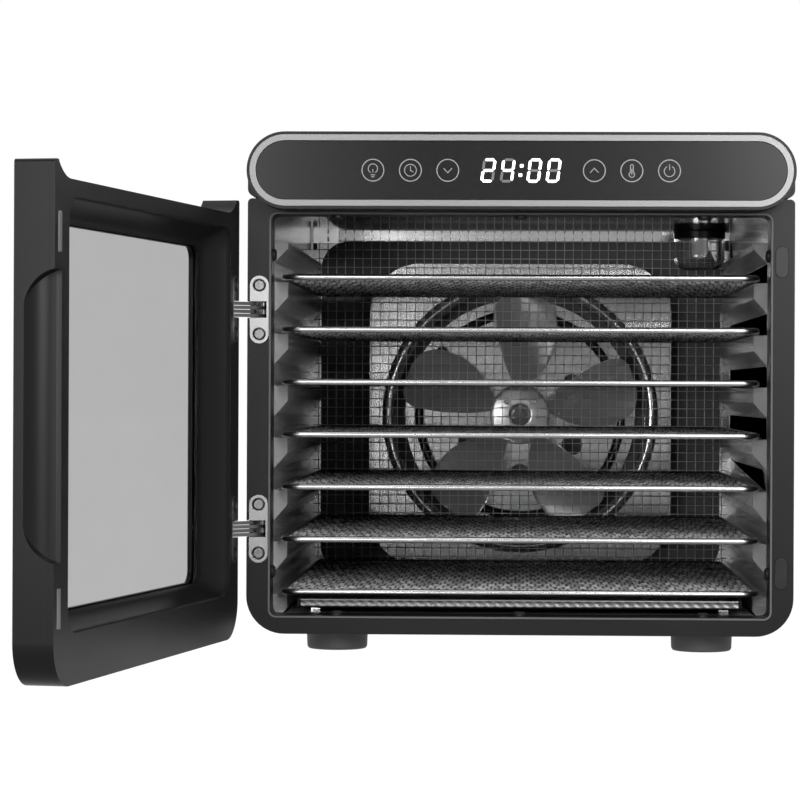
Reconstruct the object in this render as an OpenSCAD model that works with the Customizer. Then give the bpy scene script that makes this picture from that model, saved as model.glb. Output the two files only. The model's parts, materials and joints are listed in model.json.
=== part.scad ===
// Bench-top food dehydrator: a ribbed steel drying chamber behind a glazed side-hinged door,
// seven wire trays over a drip tray, and a fan with a ring heater behind a mesh guard.
// X runs to the right, Y into the chamber and Z up. The cabinet is drawn about its own centre
// line with its front face at y = 0 and its feet on z = 0, then shifted to the part's origin.

/* [Cabinet] */
// Width over the front frame
body_w = 345; // [335:1:370]
// Height of the cabinet above its feet
body_h = 315.4; // [312:0.2:320]
// Depth from the front frame's face to the rear panel
body_d = 450; // [446:1:470]
// Outer corner radius of the front mouldings
corner_r = 24; // [16:1:28]
// Depth of the front mouldings
front_depth = 26; // [24:1:32]

/* [Feet] */
// Height of a rubber foot
foot_h = 13.2; // [10:0.2:16]
// Radius of a rubber foot
foot_r = 20; // [14:1:22]
// Distance between the left and right feet
foot_span_x = 236; // [200:2:260]
// Distance from the front face to the front feet
foot_front_y = 54; // [40:1:70]
// Distance from the front face to the rear feet
foot_rear_y = 400; // [360:1:410]

/* [Control panel] */
// Height of the rounded control panel
panel_h = 48.2; // [46:0.2:49]
// Distance the control panel and the door stand in front of the frame
proud = 24; // [22:0.5:28]
// Width of the black edge around the trim ring
panel_edge = 1.6; // [1:0.1:2]
// Width of the silver trim ring
trim_w = 4.1; // [3:0.1:5]

/* [Door] */
// Angle by which the door stands open at rest
door_open = 100.5; // [90:0.5:110]
// Gap between the closed door and the front frame
door_gap = 1.5; // [1.2:0.1:2]
// Distance of the hinge axis outboard of the cabinet's side
hinge_out = 3.5; // [3:0.1:4]
// Height of the upper hinge
hinge_top_z = 218; // [200:1:230]
// Height of the lower hinge
hinge_low_z = 79.5; // [60:0.5:90]

/* [Chamber] */
// Half width of the door opening
open_half_w = 157.5; // [150:0.5:160]
// Height of the door opening's lower edge
open_low_z = 24.7; // [22:0.1:26]
// Height of the door opening's upper edge
open_top_z = 278.3; // [276:0.1:279]
// Depth at which the mesh guard closes the chamber
guard_y = 364; // [360:1:368]

/* [Trays] */
// Number of trays
tray_count = 7; // [7:1:7]
// Height of the lowest tray's wire frame
tray_low_z = 38.9; // [38.5:0.1:39.5]
// Spacing between one tray and the next
tray_pitch = 33.4; // [33:0.1:33.5]
// Width over a tray's wire frame
tray_w = 306; // [304:1:307]
// Depth over a tray's wire frame
tray_d = 338; // [320:1:342]
// Radius of a tray's frame wire
wire_r = 2; // [1.5:0.1:2]

/* [Fan] */
// Height of the fan's axis
fan_z = 149.5; // [146:0.5:153]
// Radius over the fan blades
fan_r = 92; // [85:1:93]
// Number of fan blades
blade_count = 5; // [4:1:6]
// Radius of the heating ring
heater_r = 77; // [70:1:80]

/* [Hidden] */
$fn = 64;
eps = 0.01;
half_w = body_w / 2;
top_z = foot_h + body_h;

// Front mouldings
joint_z = 288.4;
joint_gap = 1;
pod_gap = 0.1;
horn_z = joint_z - 2;
rim_t = 2;
web_t = 4;
seal_w = 1.3;
panel_r = panel_h / 2;
panel_z = top_z - panel_r;
panel_half_w = half_w - 1.3;
panel_end_x = panel_half_w - panel_r;

// Steel casing around the chamber
sheet = 1;
shell_inset = rim_t + 0.2;
shell_y = front_depth - 5;
shell_half_w = half_w - shell_inset;
shell_low_z = foot_h + shell_inset;
shell_top_z = top_z - shell_inset;
shell_r = corner_r - shell_inset;
base_half_w = shell_half_w - shell_r - 6;
liner_y = front_depth + 0.2;
ceiling_z = 284;
floor_z = open_low_z;

// Door, drawn closed and then swung about its hinge axis
door_t = proud - door_gap;
door_back_y = -door_gap;
door_front_y = -proud;
door_low_z = foot_h - 1.9;
notch_gap = door_gap + 1.4;
hinge_x = -half_w - hinge_out;
hinge_y = -door_gap / 2;
recess_x0 = -half_w + 18.5;
recess_x1 = half_w - 22.5;
recess_z0 = 38.5;
recess_z1 = 268.5;
recess_deep = 15.5;
glass_x0 = recess_x0 + 19;
glass_x1 = recess_x1 - 17;
recess_r = 12;
glass_z0 = recess_z0 + 9.5;
glass_z1 = recess_z1 - 13;
glass_t = 3.2;
skin_t = 3;
magnet_half_w = 2.6;

// Concealed hinges: a pocket 0.3 mm larger than each casting, with a pair of crossing links
leaf_w = 12;
leaf_h = 43;
leaf_x = hinge_x + 11;
leaf_t = 4;
mortise_h = 10.4;
mortise_deep = 19.5;
screw_pitch = 30.8;
pivot_x = 13.3;
pivot_y = 8;
pin_r = 1.3;
link_len = 23;
link_half_w = 2;
link_t = 2.1;
link_closed = -107;
link_ratio = 0.36;

// Air system behind the mesh guard
plate_y = 374;
plate_size = 228;
plate_hole_r = 94.5;
lip_r = 5;
fan_y = 380;
heater_y = 394;
heater_tube_r = 3.2;
heater_leads = [124, 142];
spider_y = 399.5;
plenum_back_y = 404;
motor_len = 33;
rear_y = body_d - sheet;
shaft_r = 3;

// Place of the lamp on the ceiling
lamp_x = 130;
lamp_y = 290;
lamp_r = 19;

// Magnets that hold the door
magnet_x = half_w - 8;
magnet_z = [249, 53];

// The origin is the middle of the ground that the open appliance covers
door_reach = half_w - hinge_x;
x_min = hinge_x + door_reach * cos(door_open) - (proud + hinge_y) * sin(door_open);
y_min = hinge_y - door_reach * sin(door_open);
shift = [-(x_min + half_w) / 2, -(y_min + body_d) / 2, 0];

function tray_z(k) = tray_low_z + (tray_count - k) * tray_pitch;

// ---- shared shapes ----

// Moves the cabinet's own centre line to the part's origin
module placed() {
  translate(shift) children();
}

// Extrudes an outline drawn in X and Z from y0 to y1
module along_y(y0, y1) {
  translate([0, y1, 0]) rotate([90, 0, 0]) linear_extrude(y1 - y0) children();
}

// Box given by its two corners
module box(a, b) {
  translate(a) cube(b - a);
}

// Round bar along Y
module bar_y(r, y0, y1) {
  translate([0, y0, 0]) rotate([-90, 0, 0]) cylinder(r = r, h = y1 - y0);
}

// Outline with its own radius at the lower and the upper corners
module outline(x0, x1, z0, z1, r_low, r_top) {
  intersection() {
    translate([x0, z0]) square([x1 - x0, z1 - z0]);
    union() {
      translate([x0, z0 + r_low]) square([x1 - x0, z1 - z0 - r_low - r_top]);
      translate([x0 + r_low, z0]) square([x1 - x0 - 2 * r_low, r_low]);
      translate([x0 + r_top, z1 - r_top]) square([x1 - x0 - 2 * r_top, r_top]);
      for (x = [x0 + r_low, x1 - r_low]) translate([x, z0 + r_low]) circle(r_low);
      for (x = [x0 + r_top, x1 - r_top]) translate([x, z1 - r_top]) circle(r_top);
    }
  }
}

// Rectangle about the centre line with the same radius at every corner
module rounded(half_x, z0, z1, r) {
  outline(-half_x, half_x, z0, z1, r, r);
}

// Stadium of the control panel, inset by a constant distance
module stadium(inset) {
  r = panel_r - inset;
  translate([-panel_end_x, panel_z - r]) square([2 * panel_end_x, 2 * r]);
  for (x = [-1, 1]) translate([x * panel_end_x, panel_z]) circle(r);
}

// Screw with a pan head on +Z, its head's seat at z = 0 and a cross recess
module pan_screw(head_r, head_h, shank_r, shank_len) {
  arm = head_r * 1.1;
  difference() {
    union() {
      cylinder(r = head_r, h = head_h * 0.6);
      translate([0, 0, head_h * 0.6]) cylinder(r1 = head_r, r2 = head_r * 0.72, h = head_h * 0.4);
      translate([0, 0, -shank_len]) cylinder(r = shank_r, h = shank_len);
    }
    for (a = [0, 90]) rotate(a) translate([-arm / 2, -head_r * 0.17, head_h * 0.4]) cube([arm, head_r * 0.34, head_h]);
  }
}

// Four-sided pyramid stump between two rectangles in X and Z, at depths ya and yb
module stump(xa0, xa1, za0, za1, ya, xb0, xb1, zb0, zb1, yb) {
  intersection() {
    translate([0, 0, za0 - 50]) linear_extrude(za1 - za0 + 100)
      polygon([[xa0, ya], [xa1, ya], [xb1, yb], [xb0, yb]]);
    rotate([90, 0, 90]) translate([0, 0, xa0 - 50]) linear_extrude(xa1 - xa0 + 100)
      polygon([[ya, za0], [ya, za1], [yb, zb1], [yb, zb0]]);
  }
}

// ---- casing ----

module shell_outline(inset) {
  rounded(shell_half_w - inset, shell_low_z + inset, shell_top_z - inset, shell_r - inset);
}

// Slot in which the casing's front edge sits
module shell_slot() {
  along_y(shell_y - 0.3, front_depth + 1) difference() {
    shell_outline(-0.1);
    shell_outline(sheet + 0.1);
  }
}

module outer_shell() {
  placed() color("silver") difference() {
    along_y(shell_y, body_d) shell_outline(0);
    along_y(shell_y - 1, body_d + 1) shell_outline(sheet);
    box([-base_half_w, shell_y - 1, 0], [base_half_w, body_d + 1, shell_low_z + 2 * sheet]);
    for (x = [-1, 1]) for (z = [hinge_top_z, hinge_low_z])
      box([x * half_w - 4, shell_y - 1, z - 8], [x * half_w + 4, shell_y + 2, z + 8]);
  }
}

module base_plate() {
  z0 = shell_low_z + sheet + 0.1;
  placed() color("silver") difference() {
    union() {
      box([-base_half_w - 5, shell_y + 6, z0], [base_half_w + 5, body_d - 3, z0 + sheet]);
      box([-base_half_w + 0.5, shell_y + 6, shell_low_z], [base_half_w - 0.5, body_d - 3, z0 + eps]);
    }
    box([-base_half_w + 4, shell_y + 12, z0 - 5], [base_half_w - 4, body_d - 9, z0]);
    for (x = [-1, 1]) for (y = [foot_front_y, foot_rear_y])
      translate([x * foot_span_x / 2, y, 0]) cylinder(r = 2.2, h = 40);
  }
}

module rear_panel() {
  vent_pitch = 8;
  placed() color("silver") difference() {
    along_y(rear_y, body_d) shell_outline(sheet + 0.2);
    for (i = [-7:7]) {
      reach = sqrt(68 * 68 - pow(i * vent_pitch, 2));
      box([-reach, rear_y - 1, fan_z + i * vent_pitch - 1.5], [reach, body_d + 1, fan_z + i * vent_pitch + 1.5]);
    }
    for (x = [-1, 1]) for (i = [0:9])
      box([x * 125 - 22, rear_y - 1, 210 + i * 7], [x * 125 + 22, body_d + 1, 213 + i * 7]);
    translate([115, 0, 50]) bar_y(8.1, rear_y - 1, body_d + 1);
  }
}

module feet() {
  placed() color("dimgray") for (x = [-1, 1]) for (y = [foot_front_y, foot_rear_y])
    translate([x * foot_span_x / 2, y, 0]) difference() {
      union() {
        cylinder(r1 = foot_r - 1.2, r2 = foot_r - 0.5, h = 2);
        translate([0, 0, 2]) cylinder(r1 = foot_r - 0.5, r2 = foot_r, h = shell_low_z - 2);
      }
      translate([0, 0, -1]) cylinder(r = 6, h = 7);
      cylinder(r = 2.2, h = shell_low_z + 2);
    }
}

module foot_screws() {
  placed() color("darkgray") for (x = [-1, 1]) for (y = [foot_front_y, foot_rear_y])
    translate([x * foot_span_x / 2, y, 6]) rotate([180, 0, 0]) pan_screw(4.2, 2.6, 2, foot_h);
}

module cord_gland() {
  placed() color("black") translate([115, 0, 50]) difference() {
    union() {
      bar_y(8, rear_y - 6, body_d + 1.9);
      bar_y(10.5, body_d + 0.1, body_d + 3);
      bar_y(10.5, rear_y - 4, rear_y - 0.1);
    }
    bar_y(4, rear_y - 10, body_d + 10);
  }
}

// ---- front mouldings ----

module control_housing() {
  placed() color("black") difference() {
    union() {
      along_y(0, front_depth) outline(-half_w, half_w, joint_z + joint_gap, top_z, 5, corner_r);
      along_y(-proud, -pod_gap) stadium(0);
      intersection() {
        along_y(-2 * pod_gap, eps) stadium(0);
        box([-half_w, -1, joint_z + joint_gap], [half_w, 1, top_z]);
      }
    }
    along_y(web_t, front_depth + 1)
      outline(-half_w + rim_t, half_w - rim_t, joint_z + joint_gap + rim_t, top_z - rim_t, 3, corner_r - rim_t);
    shell_slot();
    along_y(-proud - 1, -proud + 2.6) stadium(panel_edge);
    along_y(-proud + 5, -eps - 2) stadium(3);
    box([-28, -proud, panel_z - 11], [28, 0, panel_z + 11]);
    box([-60, -3, panel_z - 4], [60, 10, panel_z + 16]);
  }
}

module trim_ring() {
  placed() color("silver") difference() {
    along_y(-proud, -proud + 2.5) stadium(panel_edge + 0.05);
    along_y(-proud - 1, -proud + 3) stadium(panel_edge + trim_w);
  }
}

module panel_glass() {
  placed() color("black") along_y(-proud + 0.5, -proud + 2.5) stadium(panel_edge + trim_w + 0.1);
}

module display_module() {
  placed() color("dimgray") box([-27, -proud + 2.7, panel_z - 10], [27, -proud + 9.4, panel_z + 10]);
}

module control_board() {
  pad_x = [45.6, 68.9, 92.3];
  placed() color("darkgreen") union() {
    box([-140, -proud + 9.5, panel_z - 17], [140, -proud + 11.1, panel_z + 17]);
    for (x = pad_x) for (s = [-1, 1])
      translate([s * x, 0, panel_z]) bar_y(5, -proud + 5.2, -proud + 9.6);
    box([-120, -proud + 11, panel_z - 12], [-96, -proud + 17, panel_z + 4]);
    box([60, -proud + 11, panel_z - 8], [76, -proud + 20, panel_z + 10]);
  }
}

module front_frame_outline() {
  outline(-half_w, half_w, foot_h, joint_z, corner_r, 3);
}

// Pocket for one hinge casting, for the side on which depth runs away from the gap
module hinge_pocket(z) {
  slack = 0.3;
  x0 = leaf_x - leaf_w / 2 - slack;
  x1 = leaf_x + leaf_w / 2 + slack;
  wall = mortise_h / 2 + 2 + slack;
  along_y(-eps, leaf_t + slack) outline(x0, x1, z - leaf_h / 2 - slack, z + leaf_h / 2 + slack, leaf_w / 2, leaf_w / 2);
  box([x0, -eps, z - wall], [x1, mortise_deep + 2, z + wall]);
  box([hinge_x, -eps, z - mortise_h / 2], [leaf_x, mortise_deep, z + mortise_h / 2]);
}

module front_frame() {
  inner_wall = 1.5;
  placed() color("black") difference() {
    along_y(0, front_depth) front_frame_outline();
    along_y(-1, front_depth + 1) rounded(open_half_w, open_low_z, open_top_z, 4);
    difference() {
      along_y(web_t, front_depth + 1)
        outline(-half_w + rim_t, half_w - rim_t, foot_h + rim_t, joint_z - rim_t, corner_r - rim_t, 2);
      along_y(web_t - 1, front_depth + 2)
        rounded(open_half_w + inner_wall, open_low_z - inner_wall, open_top_z + inner_wall, 5);
    }
    shell_slot();
    for (z = [hinge_top_z, hinge_low_z]) hinge_pocket(z);
    along_y(-1, 1.7) rounded(open_half_w + seal_w + 0.1, open_low_z - seal_w - 0.1, open_top_z + seal_w + 0.1, 5.4);
    for (z = magnet_z) along_y(-eps, 3) magnet_outline(4.1, z);
  }
}

module magnet_outline(r, z) {
  reach = 6;
  translate([magnet_x - r, z - reach]) square([2 * r, 2 * reach]);
  for (s = [-1, 1]) translate([magnet_x, z + s * reach]) circle(r);
}

module frame_magnets() {
  placed() color("black") for (z = magnet_z) along_y(-0.6, 2.9) magnet_outline(4, z);
}

module opening_seal() {
  placed() color("black") difference() {
    along_y(-1, 1.6) rounded(open_half_w + seal_w, open_low_z - seal_w, open_top_z + seal_w, 5.3);
    along_y(-2, 3) rounded(open_half_w + 0.1, open_low_z - 0.1, open_top_z + 0.1, 4.1);
  }
}

module frame_screws() {
  head_y = 10;
  side_z = [253, 52];
  placed() color("black") {
    for (x = [-116, 0, 116]) {
      translate([x, head_y, open_top_z]) rotate([180, 0, 0]) pan_screw(4, 2.6, 1.4, 6);
      translate([x, head_y, open_low_z]) pan_screw(4, 2.6, 1.4, 6);
    }
    for (z = side_z) for (s = [-1, 1])
      translate([s * open_half_w, head_y, z]) rotate([0, -s * 90, 0]) pan_screw(4, 2.6, 1.4, 6);
  }
}

// ---- hinges ----

// One hinge casting with its mouth on y = 0 and its depth along +Y
module hinge_casting(z) {
  wall = mortise_h / 2 + 2;
  x0 = leaf_x - leaf_w / 2;
  x1 = leaf_x + leaf_w / 2;
  difference() {
    union() {
      along_y(0, leaf_t) outline(x0, x1, z - leaf_h / 2, z + leaf_h / 2, leaf_w / 2 - eps, leaf_w / 2 - eps);
      box([x0, 0, z - wall], [x1, mortise_deep + 1.5, z + wall]);
    }
    box([hinge_x, -1, z - mortise_h / 2], [x1 - 1.4, mortise_deep, z + mortise_h / 2]);
    for (s = [-1, 1]) translate([leaf_x, 0, z + s * screw_pitch / 2]) {
      bar_y(2.1, -1, leaf_t + 1);
      bar_y(4.2, -1, 2);
    }
  }
  translate([hinge_x + pivot_x, hinge_y + pivot_y, z - mortise_h / 2 - 0.5]) cylinder(r = pin_r, h = mortise_h + 1);
}

module hinge_screw_pair(z) {
  for (s = [-1, 1]) translate([leaf_x, 2, z + s * screw_pitch / 2])
    rotate([90, 0, 0]) pan_screw(3.9, 1.9, 1.8, 10);
}

// The two plates of one link, pinned at the pivot and pointing along the given angle
module link_plates(z, first, angle) {
  layer = 2.5;
  for (i = [0, 2]) translate([hinge_x + pivot_x, hinge_y + pivot_y, z - 2 * layer + (first + i) * layer + 0.2])
    rotate(angle) difference() {
      union() {
        translate([0, -link_half_w, 0]) cube([link_len, 2 * link_half_w, link_t]);
        cylinder(r = link_half_w, h = link_t);
        translate([link_len, 0, 0]) cylinder(r = link_half_w, h = link_t);
      }
      translate([0, 0, -1]) cylinder(r = pin_r + 0.05, h = link_t + 2);
    }
}

// Mirror image across the middle of the closed gap, for what belongs to the door's half
module door_side() {
  translate([0, 2 * hinge_y, 0]) mirror([0, 1, 0]) children();
}

// Swings a closed door piece to the rest angle
module swung() {
  translate([hinge_x, hinge_y, 0]) rotate(-door_open) translate([-hinge_x, -hinge_y, 0]) children();
}

module frame_hinges() {
  placed() color("silver") for (z = [hinge_top_z, hinge_low_z]) hinge_casting(z);
}

module frame_hinge_screws() {
  placed() color("gainsboro") for (z = [hinge_top_z, hinge_low_z]) hinge_screw_pair(z);
}

module door_hinges() {
  placed() color("silver") swung() door_side() for (z = [hinge_top_z, hinge_low_z]) hinge_casting(z);
}

module door_hinge_screws() {
  placed() color("gainsboro") swung() door_side() for (z = [hinge_top_z, hinge_low_z]) hinge_screw_pair(z);
}

module frame_link(z) {
  placed() color("lightgray") link_plates(z, 0, link_closed - link_ratio * door_open);
}

module door_link(z) {
  placed() color("lightgray") swung() door_side() link_plates(z, 1, link_closed - link_ratio * door_open);
}

module frame_link_upper() {
  frame_link(hinge_top_z);
}

module frame_link_lower() {
  frame_link(hinge_low_z);
}

module door_link_upper() {
  door_link(hinge_top_z);
}

module door_link_lower() {
  door_link(hinge_low_z);
}

// ---- door ----

module door_outline(inset) {
  difference() {
    outline(-half_w + inset, half_w - inset, door_low_z + inset, horn_z - inset, corner_r - inset, 2);
    translate([-panel_end_x, panel_z - panel_r - notch_gap - inset]) square([2 * panel_end_x, panel_h]);
    for (s = [-1, 1]) translate([s * panel_end_x, panel_z]) circle(panel_r + notch_gap + inset);
  }
}

// The sloped window recess, widened by a wall thickness
module recess(wall) {
  y_out = door_back_y - recess_deep;
  stump(recess_x0 - wall, recess_x1 + wall, recess_z0 - wall, recess_z1 + wall, door_back_y + eps,
    glass_x0 - wall, glass_x1 + wall, glass_z0 - wall, glass_z1 + wall, y_out);
}

// Rim of the window recess in the door's inner face
module recess_rim(inset) {
  outline(recess_x0 + inset, recess_x1 - inset, recess_z0 + inset, recess_z1 - inset, recess_r, recess_r);
}

// Hollow cut into the free edge for the fingers: a round channel with round ends
module finger_scoop() {
  channel_r = 18.5;
  end_r = 22;
  z0 = 76;
  z1 = 230;
  intersection() {
    translate([half_w + 7.5, door_back_y, z0]) cylinder(r = channel_r, h = z1 - z0);
    rotate([90, 0, 90]) translate([0, 0, half_w - channel_r]) linear_extrude(2 * channel_r) union() {
      translate([door_front_y, z0 + end_r]) square([proud, z1 - z0 - 2 * end_r]);
      translate([door_back_y + 5, z0]) square([end_r, z1 - z0]);
      for (z = [z0 + end_r, z1 - end_r]) translate([door_back_y + 5, z]) circle(end_r);
    }
  }
}

module door_shell() {
  placed() color("black") swung() difference() {
    union() {
      difference() {
        along_y(door_front_y, door_back_y - skin_t) door_outline(0);
        along_y(door_front_y + skin_t, door_back_y) door_outline(skin_t);
      }
      intersection() {
        along_y(door_front_y, door_back_y - skin_t) door_outline(0);
        box([half_w - 14, -100, 0], [half_w + 1, 0, top_z]);
      }
    }
    recess(skin_t + 0.1);
    along_y(door_front_y - 1, door_front_y + skin_t + 1) outline(glass_x0, glass_x1, glass_z0, glass_z1, 8, 8);
    along_y(door_front_y + skin_t, door_back_y - recess_deep)
      outline(glass_x0 - 4, glass_x1 + 4, glass_z0 - 4, glass_z1 + 4, 9, 9);
    finger_scoop();
    for (z = [hinge_top_z, hinge_low_z]) door_side() hinge_pocket(z);
  }
}

module door_inner_frame() {
  placed() color("black") swung() difference() {
    along_y(door_back_y - skin_t, door_back_y) door_outline(0);
    along_y(door_back_y - skin_t - 1, door_back_y + 1) recess_rim(0);
    for (z = [hinge_top_z, hinge_low_z]) door_side() hinge_pocket(z);
    finger_scoop();
    for (z = magnet_z)
      box([magnet_x - magnet_half_w - 0.1, -5, z - 10.6], [magnet_x + magnet_half_w + 0.1, 0, z + 10.6]);
  }
}

// Sloping wall between the inner face and the window
module window_bezel() {
  placed() color("black") swung() intersection() {
    difference() {
      recess(skin_t);
      recess(0);
    }
    union() {
      along_y(door_back_y - skin_t, door_back_y - 0.3) recess_rim(0.1);
      along_y(door_front_y, door_back_y - skin_t) recess_rim(-skin_t);
    }
  }
}

module door_glass() {
  y1 = door_back_y - recess_deep - 0.2;
  placed() color("lightgray") swung() along_y(y1 - glass_t, y1) outline(glass_x0 - 2, glass_x1 + 2, glass_z0 - 2, glass_z1 + 2, 8, 8);
}

module door_seal() {
  y1 = door_back_y - recess_deep - 0.2;
  placed() color("dimgray") swung() difference() {
    along_y(y1 - glass_t, y1) outline(glass_x0 - 3.8, glass_x1 + 3.8, glass_z0 - 3.8, glass_z1 + 3.8, 9.8, 9.8);
    along_y(y1 - 10, y1 + 1) outline(glass_x0 - 2.1, glass_x1 + 2.1, glass_z0 - 2.1, glass_z1 + 2.1, 8.1, 8.1);
  }
}

module door_magnets() {
  placed() color("gray") swung() for (z = magnet_z)
    box([magnet_x - magnet_half_w, -4.4, z - 10.5], [magnet_x + magnet_half_w, door_back_y + 0.2, z + 10.5]);
}

// ---- drying chamber ----

// One pressed tray rail on the left wall: its ledge is at z and its foot ends lower down
module rail(z, face, slope, deep) {
  y0 = liner_y + 2;
  y1 = guard_y - 6;
  end = 9;
  back_x = -open_half_w - sheet - deep;
  wall_x = -open_half_w - deep;
  tip_x = wall_x + 7.8;
  foot_z = z - face - slope;
  intersection() {
    along_y(y0 - 1, y1 + 1)
      polygon([[back_x, z - deep], [tip_x, z - deep], [tip_x, z - face], [wall_x, foot_z], [back_x, foot_z]]);
    linear_extrude(top_z) polygon([[back_x, y0], [wall_x, y0], [tip_x, y0 + end],
      [tip_x, y1 - end], [wall_x, y1], [back_x, y1]]);
  }
}

module rails(deep) {
  for (k = [1:tray_count]) rail(tray_z(k) - wire_r - 0.4, 10, 9.5, deep);
  rail(262.5, 4, 9.3, deep);
}

module side_liner() {
  wall = [[-open_half_w - sheet, liner_y, floor_z - sheet], [-open_half_w, guard_y - 3, ceiling_z + sheet]];
  intersection() {
    difference() {
      union() {
        box(wall[0], wall[1]);
        rails(0);
      }
      rails(sheet);
    }
    box(wall[0], wall[1] + [20, 0, 0]);
  }
}

module liner_left() {
  placed() color("gray") side_liner();
}

module liner_right() {
  placed() color("gray") mirror([1, 0, 0]) side_liner();
}

module liner_top() {
  placed() color("gray") difference() {
    union() {
      box([-open_half_w + 0.1, liner_y, ceiling_z], [open_half_w - 0.1, guard_y - 3, ceiling_z + sheet]);
      box([-156, guard_y - 7, ceiling_z - 6], [-137, guard_y - 6, ceiling_z + eps]);
    }
    box([-145.5, guard_y - 8, ceiling_z - 4.6], [-144, guard_y - 5, ceiling_z - 1]);
    translate([lamp_x, lamp_y, ceiling_z - 1]) cylinder(r = 14.2, h = 4);
  }
}

module liner_floor() {
  placed() color("gray") {
    box([-149.5, liner_y, floor_z - sheet], [149.5, guard_y - 3, floor_z]);
    for (s = [-1, 1]) box([s * 132 - 3, liner_y + 24, floor_z - eps], [s * 132 + 3, guard_y - 8, floor_z + 3.2]);
  }
}

module back_frame() {
  placed() color("gray") difference() {
    along_y(guard_y - 2.9, guard_y - 1.9) rounded(open_half_w + sheet, floor_z - sheet, ceiling_z + sheet, 1);
    along_y(guard_y - 5, guard_y) rounded(150, 31, 279.5, 20);
    for (s = [-1, 1]) box([s * 155 - 1.6, guard_y - 5, 273], [s * 155 + 1.6, guard_y, 281]);
  }
}

// Four edge bars, with upright wires behind level wires, each a separate straight bar
module mesh_guard() {
  wire = 1;
  layer = 0.8;
  gap = 0.05;
  y1 = guard_y - 3;
  y0 = y1 - 2 * layer;
  edge_x = [150, 156];
  edge_z = [26, 32, 277, 283];
  placed() color("silver") {
    for (s = [-1, 1])
      translate([s > 0 ? edge_x[0] : -edge_x[1], y0, edge_z[0]]) cube([edge_x[1] - edge_x[0], 2 * layer, edge_z[3] - edge_z[0]]);
    for (z = [edge_z[0], edge_z[2]])
      translate([-edge_x[0] + gap, y0, z]) cube([2 * (edge_x[0] - gap), 2 * layer, edge_z[1] - edge_z[0]]);
    for (i = [-4:4])
      box([i * 33 - wire / 2, y1 - layer + gap, edge_z[1] + gap], [i * 33 + wire / 2, y1, edge_z[2] - gap]);
    for (i = [0:6]) {
      z = 55 + i * 33 - wire / 2;
      box([-edge_x[0] + gap, y0, z], [edge_x[0] - gap, y1 - layer - gap, z + wire]);
    }
  }
}

module plenum_box() {
  wall = sheet + 0.5;
  placed() color("dimgray") difference() {
    along_y(guard_y + 0.1, plenum_back_y + sheet) rounded(open_half_w, floor_z, ceiling_z, 6);
    along_y(guard_y - 1, plenum_back_y) rounded(open_half_w - wall, floor_z + wall, ceiling_z - wall, 5);
    translate([0, 0, fan_z]) bar_y(12, plenum_back_y - 1, plenum_back_y + 5);
    for (a = heater_leads) translate([0, 0, fan_z]) rotate([0, -a, 0]) translate([heater_r, 0, 0])
      bar_y(heater_tube_r + 0.8, plenum_back_y - 1, plenum_back_y + 3);
  }
}

// ---- air system ----

module fan_plate() {
  half = plate_size / 2;
  ring_r = plate_hole_r + lip_r;
  placed() color("silver") union() {
    difference() {
      along_y(plate_y, plate_y + sheet) rounded(half, fan_z - half, fan_z + half, 38);
      translate([0, 0, fan_z]) bar_y(ring_r, plate_y - 1, plate_y + 3);
    }
    translate([0, plate_y, fan_z]) rotate([-90, 0, 0]) rotate_extrude() difference() {
      union() {
        translate([ring_r, sheet]) circle(lip_r);
        translate([plate_hole_r, sheet]) square([sheet, 11]);
      }
      translate([ring_r, sheet]) circle(lip_r - sheet);
      translate([plate_hole_r + sheet, sheet]) square([2 * lip_r, 2 * lip_r]);
    }
    for (x = [-1, 1]) for (z = [-1, 1])
      translate([x * 95, 0, fan_z + z * 95]) bar_y(3, plate_y + eps, plenum_back_y);
  }
}

module heating_element() {
  tail = 3.5;
  span = 360 - heater_leads[1] + heater_leads[0] + 2 * tail;
  lead_len = plenum_back_y - heater_y + 8;
  placed() color("black") translate([0, heater_y, fan_z]) rotate([90, 0, 0]) union() {
    rotate(heater_leads[1] - tail) rotate_extrude(angle = span) translate([heater_r, 0]) circle(heater_tube_r);
    for (a = heater_leads) rotate(a) translate([heater_r, 0, -lead_len]) cylinder(r = heater_tube_r - 0.3, h = lead_len);
  }
}

module motor_spider() {
  disc_r = 88;
  vent_r = 46;
  placed() color("silver") translate([0, 0, fan_z]) difference() {
    bar_y(disc_r, spider_y, spider_y + sheet);
    bar_y(12, spider_y - 1, spider_y + 3);
    for (a = [30:60:330]) rotate([0, a, 0]) translate([vent_r, 0, 0]) bar_y(8, spider_y - 1, spider_y + 3);
    for (a = heater_leads) rotate([0, -a, 0]) translate([heater_r, 0, 0])
      bar_y(heater_tube_r + 0.8, spider_y - 1, spider_y + 3);
  }
}

module motor() {
  y0 = plenum_back_y + sheet + 0.1;
  placed() color("gray") translate([0, 0, fan_z]) difference() {
    union() {
      box([-32, y0 + 6, -26], [32, y0 + 24, 30]);
      bar_y(20, y0, y0 + motor_len - 1);
      box([-18, y0 + 2, -52], [18, y0 + 28, -24]);
    }
    bar_y(shaft_r + 0.05, y0 - 1, y0 + motor_len + 1);
  }
}

module motor_shaft() {
  placed() color("silver") translate([0, 0, fan_z]) bar_y(shaft_r, fan_y - 5, body_d - 5);
}

module fan_nut() {
  placed() color("silver") translate([0, 0, fan_z]) difference() {
    translate([0, fan_y - 4.4, 0]) rotate([-90, 0, 0]) cylinder(r = 5.6, h = 3.8, $fn = 6);
    bar_y(shaft_r, fan_y - 6, fan_y);
  }
}

// One pitched sheet blade, pointing along +X from the hub
module blade() {
  pitch = 20;
  rotate([pitch, 0, 0]) along_y(-0.5, 0.5) difference() {
    polygon([[14, -8], [34, -25], [60, -31], [84, -26], [fan_r - 2, -8], [fan_r - 2, 12],
      [80, 23], [50, 17], [30, 10], [14, 8]]);
  }
}

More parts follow.
